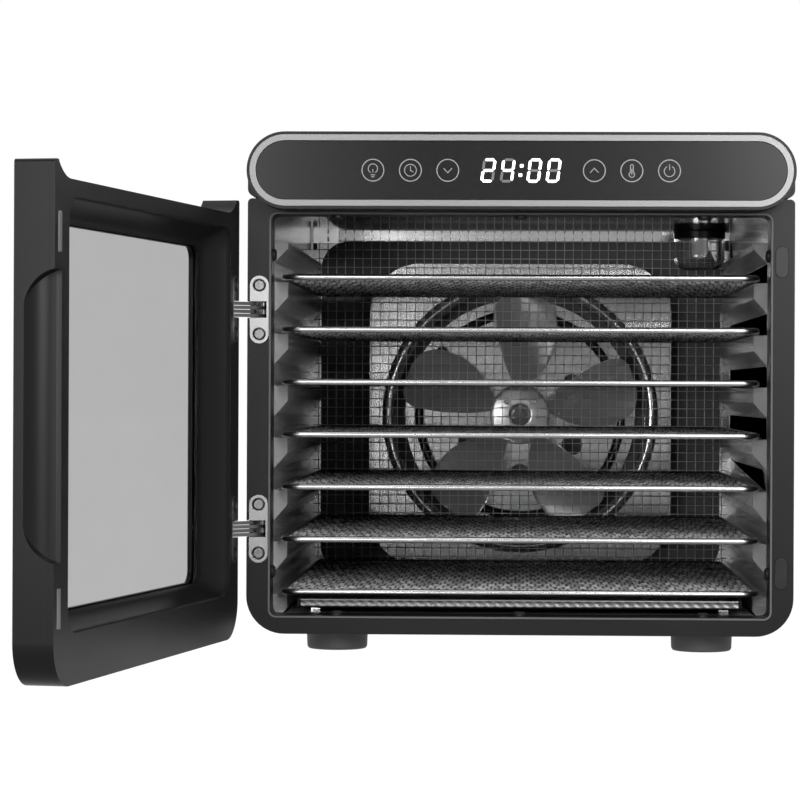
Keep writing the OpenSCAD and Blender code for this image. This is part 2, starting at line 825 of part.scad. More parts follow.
module fan_impeller() {
  placed() color("silver") translate([0, fan_y, fan_z]) difference() {
    union() {
      bar_y(22, -0.5, 0.5);
      bar_y(8, -0.5, 10);
      for (i = [0:blade_count - 1]) rotate([0, -18 - i * 360 / blade_count, 0]) blade();
    }
    bar_y(shaft_r, -30, 30);
    for (a = [45:90:315]) rotate([0, a, 0]) translate([13, 0, 0]) bar_y(2, -2, 2);
  }
}

module cooling_fan() {
  y0 = plenum_back_y + sheet + motor_len + 1;
  placed() color("black") translate([0, 0, fan_z]) difference() {
    union() {
      bar_y(9, y0, body_d - 5.5);
      for (i = [0:6]) rotate([0, i * 360 / 7, 0]) translate([18, y0 + 2.8, 0]) rotate([35, 0, 0])
        cube([24, 0.9, 7], center = true);
    }
    bar_y(shaft_r, y0 - 1, body_d);
  }
}

// ---- lamp ----

module lamp_socket() {
  placed() color("black") translate([lamp_x, lamp_y, ceiling_z]) difference() {
    union() {
      translate([0, 0, -5.5]) cylinder(r = lamp_r, h = 5.4);
      translate([0, 0, -0.2]) cylinder(r = 14, h = 16);
    }
    translate([0, 0, -6]) cylinder(r = 6.1, h = 14);
  }
}

module lamp_bulb() {
  placed() color("white") translate([lamp_x, lamp_y, ceiling_z]) union() {
    translate([0, 0, -14]) cylinder(r = 6, h = 20);
    translate([0, 0, -14]) sphere(6);
  }
}

module lamp_lens() {
  r = lamp_r - 0.6;
  tall = 23;
  placed() color("lightcyan") translate([lamp_x, lamp_y, ceiling_z - 5.6]) rotate_extrude() difference() {
    union() {
      translate([0, -tall + 10]) square([r, tall - 10]);
      translate([0, -tall]) square([r - 10, 10]);
      intersection() {
        translate([r - 10, -tall + 10]) circle(10);
        translate([0, -tall]) square([r, tall]);
      }
    }
    translate([-eps, -tall + 10]) square([r - 1.4, tall]);
    translate([-eps, -tall + 1.4]) square([r - 10, 10]);
    intersection() {
      translate([r - 10, -tall + 10]) circle(8.6);
      translate([-eps, -tall]) square([r, tall]);
    }
  }
}

// ---- trays ----

module tray(k) {
  bend = 12;
  x = tray_w / 2 - wire_r;
  y0 = 14;
  y1 = y0 + tray_d - 2 * wire_r;
  mesh_t = 0.6;
  placed() color("silver") translate([0, 0, tray_z(k)]) union() {
    for (s = [-1, 1]) {
      translate([s * x, 0, 0]) bar_y(wire_r, y0 + bend, y1 - bend);
      translate([s * (x - bend), y0 + bend, 0]) rotate(s > 0 ? -90 : 180)
        rotate_extrude(angle = 90) translate([bend, 0]) circle(wire_r);
      translate([s * (x - bend), y1 - bend, 0]) rotate(s > 0 ? 0 : 90)
        rotate_extrude(angle = 90) translate([bend, 0]) circle(wire_r);
    }
    for (y = [y0, y1]) translate([-x + bend, y, 0]) rotate([0, 90, 0]) cylinder(r = wire_r, h = 2 * (x - bend));
    translate([0, 0, -mesh_t / 2]) linear_extrude(mesh_t) outline(-x, x, y0, y1, bend, bend);
  }
}

module tray_1() {
  tray(1);
}

module tray_2() {
  tray(2);
}

module tray_3() {
  tray(3);
}

module tray_4() {
  tray(4);
}

module tray_5() {
  tray(5);
}

module tray_6() {
  tray(6);
}

module tray_7() {
  tray(7);
}

module drip_tray() {
  half_x = 141.5;
  y0 = 17;
  y1 = 350;
  z0 = floor_z + 3.6;
  z1 = z0 + 6.6;
  t = 0.8;
  slot_pitch = 6.2;
  placed() color("silver") difference() {
    box([-half_x, y0, z0], [half_x, y1, z1]);
    box([-half_x + t, y0 + t, z0 + t], [half_x - t, y1 - t, z1 + 1]);
    for (i = [-21:21]) if (i != 0)
      box([i * slot_pitch - 1.9, y0 - 1, z0 + 1.6], [i * slot_pitch + 1.9, y0 + t / 2, z1 - 1.2]);
  }
}

outer_shell();
base_plate();
rear_panel();
control_housing();
front_frame();
trim_ring();
panel_glass();
display_module();
control_board();
liner_left();
liner_right();
liner_top();
liner_floor();
back_frame();
mesh_guard();
plenum_box();
fan_plate();
heating_element();
motor_spider();
motor();
lamp_socket();
lamp_bulb();
lamp_lens();
feet();
foot_screws();
frame_screws();
frame_magnets();
opening_seal();
frame_hinges();
frame_hinge_screws();
cord_gland();
fan_impeller();
motor_shaft();
fan_nut();
cooling_fan();
door_shell();
door_inner_frame();
window_bezel();
door_glass();
door_seal();
door_magnets();
door_hinges();
door_hinge_screws();
frame_link_upper();
frame_link_lower();
door_link_upper();
door_link_lower();
tray_1();
tray_2();
tray_3();
tray_4();
tray_5();
tray_6();
tray_7();
drip_tray();
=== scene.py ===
import json
import math

import bmesh
import bpy
from mathutils import Matrix, Vector


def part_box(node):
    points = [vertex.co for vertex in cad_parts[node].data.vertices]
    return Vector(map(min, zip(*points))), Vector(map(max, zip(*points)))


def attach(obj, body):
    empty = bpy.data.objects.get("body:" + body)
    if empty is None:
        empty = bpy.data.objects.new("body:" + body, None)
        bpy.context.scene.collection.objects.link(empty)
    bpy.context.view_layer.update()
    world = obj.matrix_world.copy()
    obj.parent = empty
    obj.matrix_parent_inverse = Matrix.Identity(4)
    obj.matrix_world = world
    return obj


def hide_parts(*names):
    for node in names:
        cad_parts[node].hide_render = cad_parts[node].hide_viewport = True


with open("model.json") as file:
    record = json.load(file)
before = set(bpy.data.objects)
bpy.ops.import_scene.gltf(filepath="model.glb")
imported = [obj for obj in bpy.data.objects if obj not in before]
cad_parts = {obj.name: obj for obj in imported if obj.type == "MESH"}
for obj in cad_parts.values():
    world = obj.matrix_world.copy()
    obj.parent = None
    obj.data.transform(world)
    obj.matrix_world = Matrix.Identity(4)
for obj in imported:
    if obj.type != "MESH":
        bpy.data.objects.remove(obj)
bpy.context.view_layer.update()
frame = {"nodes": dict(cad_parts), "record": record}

# The food dehydrator's looks. Lengths below are in millimetres of the cabinet: X from its centre
# line, Y into it from the front frame's face, Z up from the table.
MM = 0.001
FRONT_LOW, FRONT_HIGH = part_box("front_frame")
MIDDLE_X = (FRONT_LOW.x + FRONT_HIGH.x) / 2
FACE_Y = FRONT_LOW.y


def at(x, y, z):
    """A point of the cabinet, in metres of the row frame."""
    return Vector((MIDDLE_X + x * MM, FACE_Y + y * MM, z * MM))


def extent(node):
    """A CAD node's lowest and highest corner, in the cabinet's millimetres."""
    origin = at(0, 0, 0)
    return [(corner - origin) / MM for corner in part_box(node)]


# ---- camera, light and floor ----


def make_camera():
    camera = bpy.data.objects.new("camera", bpy.data.cameras.new("camera"))
    camera.data.lens = 132.5
    camera.data.sensor_width = 36
    camera.data.shift_x = -0.0537
    camera.data.shift_y = -0.0102
    camera.data.clip_end = 50
    camera.location = at(0, -1857, 166.5)
    camera.rotation_euler = (math.radians(90), math.radians(-0.25), math.radians(1.5))
    bpy.context.scene.collection.objects.link(camera)
    bpy.context.scene.camera = camera


def softbox(name, place, aim, width, height, watts):
    """A rectangular light at place, turned to face aim."""
    light = bpy.data.lights.new(name, "AREA")
    light.shape = "RECTANGLE"
    light.size, light.size_y = width, height
    light.energy = watts
    lamp = bpy.data.objects.new(name, light)
    lamp.location = place
    lamp.rotation_euler = (Vector(aim) - Vector(place)).to_track_quat("-Z", "Y").to_euler()
    bpy.context.scene.collection.objects.link(lamp)


def make_studio():
    """A white room that is dimmer in front, so that black mouldings stay black. The floor glows evenly,
    and shows neither shadows nor a horizon."""
    scene = bpy.context.scene
    scene.view_settings.view_transform = "Standard"
    scene.world = bpy.data.worlds.new("studio")
    scene.world.use_nodes = True
    nodes, links = scene.world.node_tree.nodes, scene.world.node_tree.links
    coords = nodes.new("ShaderNodeTexCoord")
    split = nodes.new("ShaderNodeSeparateXYZ")
    links.new(coords.outputs["Generated"], split.inputs[0])
    depth = nodes.new("ShaderNodeMapRange")
    depth.interpolation_type = "SMOOTHSTEP"
    depth.inputs["From Min"].default_value = -0.9
    depth.inputs["From Max"].default_value = 0.3
    depth.inputs["To Min"].default_value = 0.55
    depth.inputs["To Max"].default_value = 1.0
    links.new(split.outputs["Y"], depth.inputs["Value"])
    rays = nodes.new("ShaderNodeLightPath")
    seen = nodes.new("ShaderNodeMix")
    links.new(rays.outputs["Is Camera Ray"], seen.inputs["Factor"])
    links.new(depth.outputs["Result"], seen.inputs["A"])
    seen.inputs["B"].default_value = 1.0
    links.new(seen.outputs["Result"], nodes["Background"].inputs["Strength"])
    nodes["Background"].inputs["Color"].default_value = (1, 1, 1, 1)

    softbox("key_right", (0.75, -1.9, 0.75), (0.05, 0.3, 0.15), 0.9, 0.9, 80)
    softbox("fill_left", (-0.7, -2.1, 0.45), (0.05, 0.3, 0.15), 0.8, 0.8, 42)
    softbox("overhead", (0.0, -0.3, 1.6), (0.0, 0.05, 0.1), 1.6, 1.2, 22)
    softbox("rear", (0.6, 1.6, 1.1), (0.0, 0.2, 0.15), 1.0, 0.8, 14)

    bpy.ops.mesh.primitive_plane_add(size=40, location=(0, 0, 0))
    floor = bpy.context.object
    floor.name = "floor"
    paper = surface(
        "floor_paper", (0.01, 0.02), (0.9, 0.95), grain=(60, 60, 60), bump=0.02, Specular_IOR_Level=0.0
    )
    glow = paper.node_tree.nodes["Principled BSDF"]
    glow.inputs["Emission Color"].default_value = (1, 1, 1, 1)
    glow.inputs["Emission Strength"].default_value = 1.0
    floor.data.materials.append(paper)


# ---- materials ----


def surface(
    name, tones, roughness, metallic=0.0, grain=(500, 500, 500), patch=7.0, bump=0.0, wave=0.0, **extra
):
    """A finish in greys. Tone and roughness run between two values each, partly over broad patches and
    partly with a fine grain, in cycles per metre along each axis. bump is the relief of the grain, and
    wave that of the patches. The rest are values of the shader's own sockets."""
    material = bpy.data.materials.new(name)
    material.use_nodes = True
    nodes, links = material.node_tree.nodes, material.node_tree.links
    shader = nodes["Principled BSDF"]
    coords = nodes.new("ShaderNodeTexCoord")

    stretch = nodes.new("ShaderNodeMapping")
    stretch.inputs["Scale"].default_value = grain
    links.new(coords.outputs["Object"], stretch.inputs["Vector"])
    fine = nodes.new("ShaderNodeTexNoise")
    fine.inputs["Scale"].default_value = 1.0
    fine.inputs["Detail"].default_value = 3.0
    links.new(stretch.outputs["Vector"], fine.inputs["Vector"])

    broad = nodes.new("ShaderNodeTexNoise")
    broad.inputs["Scale"].default_value = patch
    broad.inputs["Detail"].default_value = 2.0
    links.new(coords.outputs["Object"], broad.inputs["Vector"])

    blend = nodes.new("ShaderNodeMath")
    blend.operation = "ADD"
    links.new(fine.outputs["Fac"], blend.inputs[0])
    links.new(broad.outputs["Fac"], blend.inputs[1])

    tone = nodes.new("ShaderNodeValToRGB")
    tone.color_ramp.elements[0].position = 0.30
    tone.color_ramp.elements[1].position = 0.70
    for element, value in zip(tone.color_ramp.elements, tones):
        element.color = (value, value, value * 1.005, 1)
    half = nodes.new("ShaderNodeMath")
    half.operation = "MULTIPLY"
    half.inputs[1].default_value = 0.5
    links.new(blend.outputs["Value"], half.inputs[0])
    links.new(half.outputs["Value"], tone.inputs["Fac"])
    links.new(tone.outputs["Color"], shader.inputs["Base Color"])

    rough = nodes.new("ShaderNodeMapRange")
    rough.inputs["From Min"].default_value = 0.3
    rough.inputs["From Max"].default_value = 0.7
    rough.inputs["To Min"].default_value, rough.inputs["To Max"].default_value = roughness
    links.new(half.outputs["Value"], rough.inputs["Value"])
    links.new(rough.outputs["Result"], shader.inputs["Roughness"])

    relief = None
    for source, amount, distance in ((broad, wave, 2 * MM), (fine, bump, 0.2 * MM)):
        if amount:
            lift = nodes.new("ShaderNodeBump")
            lift.inputs["Strength"].default_value = amount
            lift.inputs["Distance"].default_value = distance
            links.new(source.outputs["Fac"], lift.inputs["Height"])
            if relief:
                links.new(relief.outputs["Normal"], lift.inputs["Normal"])
            relief = lift
    if relief:
        links.new(relief.outputs["Normal"], shader.inputs["Normal"])
    shader.inputs["Metallic"].default_value = metallic
    for socket, value in extra.items():
        shader.inputs[socket.replace("_", " ")].default_value = value
    return material


ALONG_X = (25, 2600, 2600)
ALONG_Y = (2600, 25, 2600)
FINISHES = {
    "casing_steel": surface("casing_steel", (0.27, 0.33), (0.26, 0.38), 1.0, ALONG_Y, 5, bump=0.10),
    "black_plastic": surface(
        "black_plastic", (0.003, 0.004), (0.30, 0.38), 0.0, (1500, 1500, 1500), 9,
        bump=0.05, Specular_IOR_Level=0.075,
    ),
    "silver_trim": surface("silver_trim", (0.062, 0.074), (0.34, 0.42), 1.0, ALONG_X, 6, bump=0.06),
    "panel_glass": surface(
        "panel_glass", (0.006, 0.008), (0.16, 0.22), 0.0, (300, 300, 300), 8, Specular_IOR_Level=0.06
    ),
    "display": surface("display", (0.02, 0.03), (0.3, 0.4), 0.0, (600, 600, 600), 20, bump=0.05),
    "circuit_board": surface("circuit_board", (0.05, 0.09), (0.35, 0.5), 0.0, (400, 400, 400), 40, bump=0.1),
    "mirror_steel": surface("mirror_steel", (0.50, 0.58), (0.03, 0.07), 1.0, ALONG_X, 6, bump=0.01, wave=0.10),
    "polished_steel": surface("polished_steel", (0.47, 0.53), (0.15, 0.19), 0.8, (12, 420, 420), 14, wave=0.20),
    "tray_steel": surface("tray_steel", (0.24, 0.28), (0.21, 0.26), 1.0, (200, 200, 200), 30),
    "tray_mesh": surface("tray_mesh", (0.42, 0.80), (0.22, 0.40), 0.6, (170, 42, 170), 30, bump=0.1),
    "guard_wire": surface("guard_wire", (0.74, 0.84), (0.35, 0.5), 0.2, (900, 900, 900), 30, bump=0.05),
    "drip_steel": surface("drip_steel", (0.05, 0.06), (0.28, 0.4), 1.0, (900, 900, 900), 30, bump=0.05),
    "dark_steel": surface("dark_steel", (0.085, 0.11), (0.40, 0.55), 0.0, (500, 500, 500), 10, bump=0.10),
    "heater_sheath": surface("heater_sheath", (0.012, 0.02), (0.16, 0.26), 0.0, (800, 800, 800), 40, bump=0.08),
    "white_ceramic": surface("white_ceramic", (0.75, 0.82), (0.15, 0.3), 0.0, (500, 500, 500), 30),
    "clear_glass": surface(
        "clear_glass", (0.92, 0.96), (0.01, 0.03), 0.0, (200, 200, 200), 20, Transmission_Weight=1.0, IOR=1.46
    ),
    "tinted_glass": surface(
        "tinted_glass", (0.44, 0.46), (0.10, 0.14), 0.0, (60, 60, 60), 4, Transmission_Weight=1.0, IOR=1.02
    ),
    "rubber": surface("rubber", (0.012, 0.020), (0.55, 0.75), 0.0, (900, 900, 900), 20, bump=0.25),
    "zinc": surface("zinc", (0.10, 0.13), (0.26, 0.36), 1.0, (1800, 1800, 1800), 25, bump=0.03),
    "bright_screw": surface("bright_screw", (0.07, 0.09), (0.28, 0.34), 1.0, (400, 400, 400), 60),
    "black_screw": surface(
        "black_screw", (0.004, 0.006), (0.28, 0.4), 0.0, (900, 900, 900), 60, bump=0.06, Specular_IOR_Level=0.1
    ),
    "magnet": surface("magnet", (0.07, 0.11), (0.3, 0.45), 0.6, (700, 700, 700), 30, bump=0.06),
    "fan_steel": surface("fan_steel", (0.80, 0.84), (0.25, 0.28), 0.5, (90, 90, 90), 18, wave=0.08),
}


def knuckle_gap_shade(material, wide, long):
    """Paints shade into a finish in the gaps between the knuckles of the mesh, which lie in staggered rows.
    Each knuckle's tone also varies at random.
    """
    nodes, links = material.node_tree.nodes, material.node_tree.links
    shader = nodes["Principled BSDF"]
    plain = shader.inputs["Base Color"].links[0].from_socket
    coords = nodes.new("ShaderNodeTexCoord")
    rows = nodes.new("ShaderNodeTexBrick")
    rows.inputs["Scale"].default_value = 1.0
    rows.inputs["Brick Width"].default_value = wide * MM
    rows.inputs["Row Height"].default_value = long * MM
    rows.inputs["Mortar Size"].default_value = 1.5 * MM
    rows.inputs["Mortar Smooth"].default_value = 1.0
    rows.inputs["Color1"].default_value = (1, 1, 1, 1)
    rows.inputs["Color2"].default_value = (0.45, 0.45, 0.45, 1)
    # The near-black mortar is painted shade in the gaps between the knuckles.
    rows.inputs["Mortar"].default_value = (0.07, 0.07, 0.07, 1)
    links.new(coords.outputs["Object"], rows.inputs["Vector"])
    shaded_tone = nodes.new("ShaderNodeMix")
    shaded_tone.data_type = "RGBA"
    shaded_tone.blend_type = "MULTIPLY"
    shaded_tone.inputs["Factor"].default_value = 1.0
    links.new(plain, shaded_tone.inputs["A"])
    links.new(rows.outputs["Color"], shaded_tone.inputs["B"])
    links.new(shaded_tone.outputs["Result"], shader.inputs["Base Color"])


# Painted shade between the knuckles of the tray mesh.
knuckle_gap_shade(FINISHES["tray_mesh"], wide=5.2, long=24)


def glowing(name, tones, light):
    """A printed or lit mark on the panel."""
    material = surface(name, tones, (0.4, 0.5), grain=(900, 900, 900), patch=40)
    shader = material.node_tree.nodes["Principled BSDF"]
    shader.inputs["Emission Color"].default_value = (1, 1, 1, 1)
    shader.inputs["Emission Strength"].default_value = light
    return material


DIGIT_LIGHT = glowing("digit_light", (0.85, 0.9), 0.9)
DIGIT_DARK = glowing("digit_dark", (0.006, 0.008), 0.0)
ICON_PRINT = glowing("icon_print", (0.055, 0.065), 0.02)


# ---- CAD nodes: finishes and rounded edges ----

# Width of the rounded edges, in millimetres
EDGES = {
    "front_frame": 1.0,
    "control_housing": 0.7,
    "door_shell": 1.6,
    "door_inner_frame": 0.9,
    "feet": 1.0,
    "cord_gland": 0.5,
    "trim_ring": 0.25,
    "frame_hinges": 0.3,
    "door_hinges": 0.3,
    "motor": 1.0,
    "lamp_socket": 0.5,
    "cooling_fan": 0.15,
}
# Nodes that keep their CAD mesh: glass, round bars, small screws, and plates whose many holes don't bear it
PLAIN_EDGES = {
    "door_glass", "lamp_lens", "lamp_bulb", "heating_element", "motor_shaft", "frame_hinge_screws",
    "door_hinge_screws", "foot_screws", "frame_screws", "rear_panel", "motor_spider", "base_plate",
    "control_board", "back_frame", "liner_top", "fan_plate",
}
DEFAULT_EDGE = 0.2
# Angle in degrees from which an edge counts as sharp
SHARP = 35


def dress(node, slot):
    """Gives a CAD node its finish, and rounds its edges with modifiers."""
    for holder in node.material_slots:
        holder.material = FINISHES[slot]
    if node.name in PLAIN_EDGES:
        return
    weld = node.modifiers.new("weld", "WELD")
    weld.merge_threshold = 0.002 * MM
    flat = node.modifiers.new("flat", "DECIMATE")
    flat.decimate_type = "DISSOLVE"
    flat.angle_limit = math.radians(0.3)
    bevel = round_edges(node, EDGES.get(node.name, DEFAULT_EDGE), 3, SHARP)
    bevel.miter_outer = "MITER_ARC"
    weigh_normals(node)


# ---- building blocks ----


def piece(name, mesh, material, body, smooth=False):
    """An object of the dehydrator that rides on a body."""
    made = bpy.data.objects.new(name, mesh)
    bpy.context.scene.collection.objects.link(made)
    if not mesh.materials:
        mesh.materials.append(material)
    if smooth:
        mesh.shade_smooth()
    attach(made, body)
    return made


def as_mesh(name, verts, faces):
    """A mesh from points in metres."""
    mesh = bpy.data.meshes.new(name)
    mesh.from_pydata([tuple(v) for v in verts], [], faces)
    mesh.validate()
    return mesh


def face_outward(mesh, merge=0.0):
    """Joins points closer than merge, in metres, and turns every face outward."""
    bm = bmesh.new()
    bm.from_mesh(mesh)
    if merge:
        bmesh.ops.remove_doubles(bm, verts=bm.verts, dist=merge)
    bmesh.ops.recalc_face_normals(bm, faces=bm.faces)
    bm.to_mesh(mesh)
    bm.free()


def weigh_normals(made):
    """Keeps flat faces flat beside rounded edges."""
    normals = made.modifiers.new("normals", "WEIGHTED_NORMAL")
    normals.weight = 60


def round_edges(made, width, segments, degrees):
    """Rounds the edges sharper than an angle, by a width in millimetres."""
    bevel = made.modifiers.new("bevel", "BEVEL")
    bevel.width = width * MM
    bevel.segments = segments
    bevel.limit_method = "ANGLE"
    bevel.angle_limit = math.radians(degrees)
    return bevel


def sweep(path, ring, closed, verts, faces):
    """Adds a bar to verts and faces. path is a list of (centre, side, up) in metres, and ring is its section
    in side and up."""
    start, count = len(verts), len(ring)
    for centre, side, up in path:
        verts.extend(centre + side * a + up * b for a, b in ring)
    steps = len(path) if closed else len(path) - 1
    for i in range(steps):
        here, there = start + i * count, start + (i + 1) % len(path) * count
        for j in range(count):
            k = (j + 1) % count
            faces.append((here + j, here + k, there + k, there + j))
    if not closed:
        last = start + (len(path) - 1) * count
        faces.append(tuple(start + j for j in reversed(range(count))))
        faces.append(tuple(last + j for j in range(count)))


def circle(radius, count):
    """A round section of that radius, in metres."""
    turn = 2 * math.pi / count
    return [(radius * math.cos(i * turn), radius * math.sin(i * turn)) for i in range(count)]


# ---- trays ----

# The expanded mesh: its diamonds, the section and lean of its strands, and how far its knuckles rise and fall
DIAMOND_LONG = 6.4
DIAMOND_SHORT = 5.0
STRAND_TALL = 1.2
STRAND_THICK = 0.45
STRAND_LEAN = math.radians(62)
CRIMP_TALL = 0.8
CRIMP_LONG = 26
CRIMP_SLANT = 90


def tray_mesh(low, high):
    """A wire frame around a raised diamond mesh, between two corners in millimetres about the frame's
    mid-height."""
    verts, faces = [], []
    wire = (high.z - low.z) / 2
    middle = (low + high) / 2
    half_x, half_y = (high.x - low.x) / 2 - wire, (high.y - low.y) / 2 - wire
    bend = 12

    # The frame wire: four bends joined by straight runs
    path = []
    bend_steps = 8
    up = Vector((0, 0, 1))
    for corner, (sx, sy) in enumerate(((1, 1), (-1, 1), (-1, -1), (1, -1))):
        centre = Vector((sx * (half_x - bend), sy * (half_y - bend), 0))
        for i in range(bend_steps + 1):
            angle = math.pi / 2 * (corner + i / bend_steps)
            out = Vector((math.cos(angle), math.sin(angle), 0))
            path.append(((middle + centre + out * bend) * MM, out, up))
    sweep(path, circle(wire * MM, 12), True, verts, faces)
    smooth_count = len(faces)

    # The mesh: one zigzag strand per half diamond, leaning as cut and drawn sheet does
    lean_side, lean_up = math.cos(STRAND_LEAN), math.sin(STRAND_LEAN)
    section = []
    for a, b in ((-1, -1), (1, -1), (1, 1), (-1, 1)):
        tall, thick = a * STRAND_TALL / 2 * MM, b * STRAND_THICK / 2 * MM
        section.append((tall * lean_up - thick * lean_side, tall * lean_side + thick * lean_up))
    step = DIAMOND_LONG / 2
    overlap = 0.15
    swing = DIAMOND_SHORT / 4 - overlap
    rows = int(2 * half_y / (DIAMOND_SHORT / 2)) - 1
    for row in range(rows):
        y = -half_y + (row + 1) * 2 * half_y / (rows + 1)
        inset = max(0.0, bend - (half_y - abs(y)))
        reach = half_x - bend + math.sqrt(max(bend * bend - inset * inset, 0.0))
        count = int(2 * reach / step)
        points = []
        for i in range(count + 1):
            x = -reach + i * 2 * reach / count
            phase = 1 if (round((x + half_x) / step) + row) % 2 else -1
            crest = 1 if i % 2 else -1
            crimp = CRIMP_TALL * crest * math.cos(2 * math.pi * (y / CRIMP_LONG + x / CRIMP_SLANT))
            points.append((middle + Vector((x, y + phase * swing, crimp))) * MM)
        sweep([(p, Vector((0, 1, 0)), up) for p in points], section, False, verts, faces)

    mesh = as_mesh("tray_wires", verts, faces)
    mesh.materials.append(FINISHES["tray_steel"])
    mesh.materials.append(FINISHES["tray_mesh"])
    wired = range(len(mesh.polygons))
    mesh.polygons.foreach_set("use_smooth", [i < smooth_count for i in wired])
    mesh.polygons.foreach_set("material_index", [0 if i < smooth_count else 1 for i in wired])
    return mesh


def make_trays():
    low, high = extent("tray_1")
    level = (low.z + high.z) / 2
    shared = tray_mesh(low - Vector((0, 0, level)), high - Vector((0, 0, level)))
    origin = at(0, 0, 0)
    for k in range(1, 8):
        node = f"tray_{k}"
        low, high = extent(node)
        made = bpy.data.objects.new(f"{node}_wires", shared)
        bpy.context.scene.collection.objects.link(made)
        made.location = origin + Vector((0, 0, (low.z + high.z) / 2 * MM))
        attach(made, node)
        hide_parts(node)


# ---- drip tray ----


def make_drip_tray():
    """A shallow pan with a ribbed, rolled front."""
    low, high = extent("drip_tray")
    rib_pitch, rib_deep, lean, step = 6.3, 0.15, -0.5, 0.7
    rib_low, rib_high = 1.4, 4.2
    margin, front_margin, corner = 0.5, 0.9, 2.6
    left, right, front, rear = low.x + margin, high.x - margin, low.y + front_margin, high.y - margin
    bottom, top = low.z + margin, high.z - margin
    verts, faces = [], []
    columns = int((right - left) / step)

    # Front wall, from its rolled foot to its rolled rim, with ribs between them
    profile = [(0.0, 0.0), (-0.5, 0.35), (-0.75, 0.9), (-0.7, 1.5), (-0.6, 2.3), (-0.6, 3.1), (-0.6, 3.9)]
    profile += [(-0.75, 4.5), (-0.8, 5.0), (-0.4, top - bottom)]
    for i in range(columns + 1):
        x = left + (right - left) * i / columns
        end = min(1.0, (x - left) / corner, (right - x) / corner)
        back = corner * (1 - math.sqrt(max(0.0, 1 - (1 - end) ** 2)))
        for depth, height in profile:
            ribbed = 1 if rib_low < height < rib_high else 0
            wave = math.sin(2 * math.pi * (x - lean * height) / rib_pitch) * rib_deep * ribbed * end
            verts.append(at(x, front + depth + back + wave, bottom + height))
    deep = len(profile)
    for i in range(columns):
        for j in range(deep - 1):
            a = i * deep + j
            faces.append((a, a + deep, a + deep + 1, a + 1))
    # Floor and the other three walls
    base = len(verts)
    corners = [(left, front + corner), (right, front + corner), (right, rear), (left, rear)]
    for z in (bottom, top):
        verts.extend(at(x, y, z) for x, y in corners)
    for a, b in ((1, 2), (2, 3), (3, 0)):
        faces.append((base + a, base + b, base + 4 + b, base + 4 + a))
    foot = [i * deep for i in range(columns + 1)]
    faces.append(tuple(reversed(foot)) + (base, base + 3, base + 2, base + 1))
    mesh = as_mesh("drip_pan", verts, faces)
    face_outward(mesh, merge=0.05 * MM)
    pan = piece("drip_pan", mesh, FINISHES["drip_steel"], "drip_tray", smooth=True)
    sheet = pan.modifiers.new("sheet", "SOLIDIFY")
    sheet.thickness = 0.7 * MM
    sheet.offset = 0
    round_edges(pan, 0.2, 2, 50)
    weigh_normals(pan)
    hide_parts("drip_tray")


# ---- mesh guard ----


def make_guard():
    """Fine square mesh, its level wires in front of the upright ones."""
    low, high = extent("mesh_guard")
    pitch, radius = 6.6, 0.3
    verts, faces = [], []
    ring = circle(radius * MM, 8)
    origin = at(0, 0, 0)
    margin, inset = 2.0, 0.5

    def wire(start, end, side, up):
        sweep([(origin + p * MM, side, up) for p in (start, end)], ring, False, verts, faces)

    across, upward, inward = Vector((1, 0, 0)), Vector((0, 0, 1)), Vector((0, 1, 0))
    front, back = high.y - 3 * radius, high.y - radius
    columns = int((high.x - low.x - 2 * margin) / pitch)
    rows = int((high.z - low.z - 2 * margin) / pitch)
    middle_x, middle_z = (low.x + high.x) / 2, (low.z + high.z) / 2
    for i in range(columns + 1):
        x = middle_x + (i - columns / 2) * pitch
        wire(Vector((x, back, low.z + inset)), Vector((x, back, high.z - inset)), across, inward)
    for i in range(rows + 1):
        z = middle_z + (i - rows / 2) * pitch
        wire(Vector((low.x + inset, front, z)), Vector((high.x - inset, front, z)), inward, upward)
    mesh = as_mesh("guard_wires", verts, faces)
    made = piece("guard_wires", mesh, FINISHES["guard_wire"], "cabinet", smooth=True)
    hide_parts("mesh_guard")


# ---- window bezel ----


def rounded_loop(x0, x1, z0, z1, radius, steps=10):
    """Points of a rectangle with round corners, counter-clockwise in x and z."""
    loop = []
    low_x, high_x, low_z, high_z = x0 + radius, x1 - radius, z0 + radius, z1 - radius
    centres = ((high_x, high_z), (low_x, high_z), (low_x, low_z), (high_x, low_z))
    for corner, (cx, cz) in enumerate(centres):
        for i in range(steps + 1):
            angle = math.pi / 2 * (corner + i / steps)
            loop.append((cx + radius * math.cos(angle), cz + radius * math.sin(angle)))
    return loop


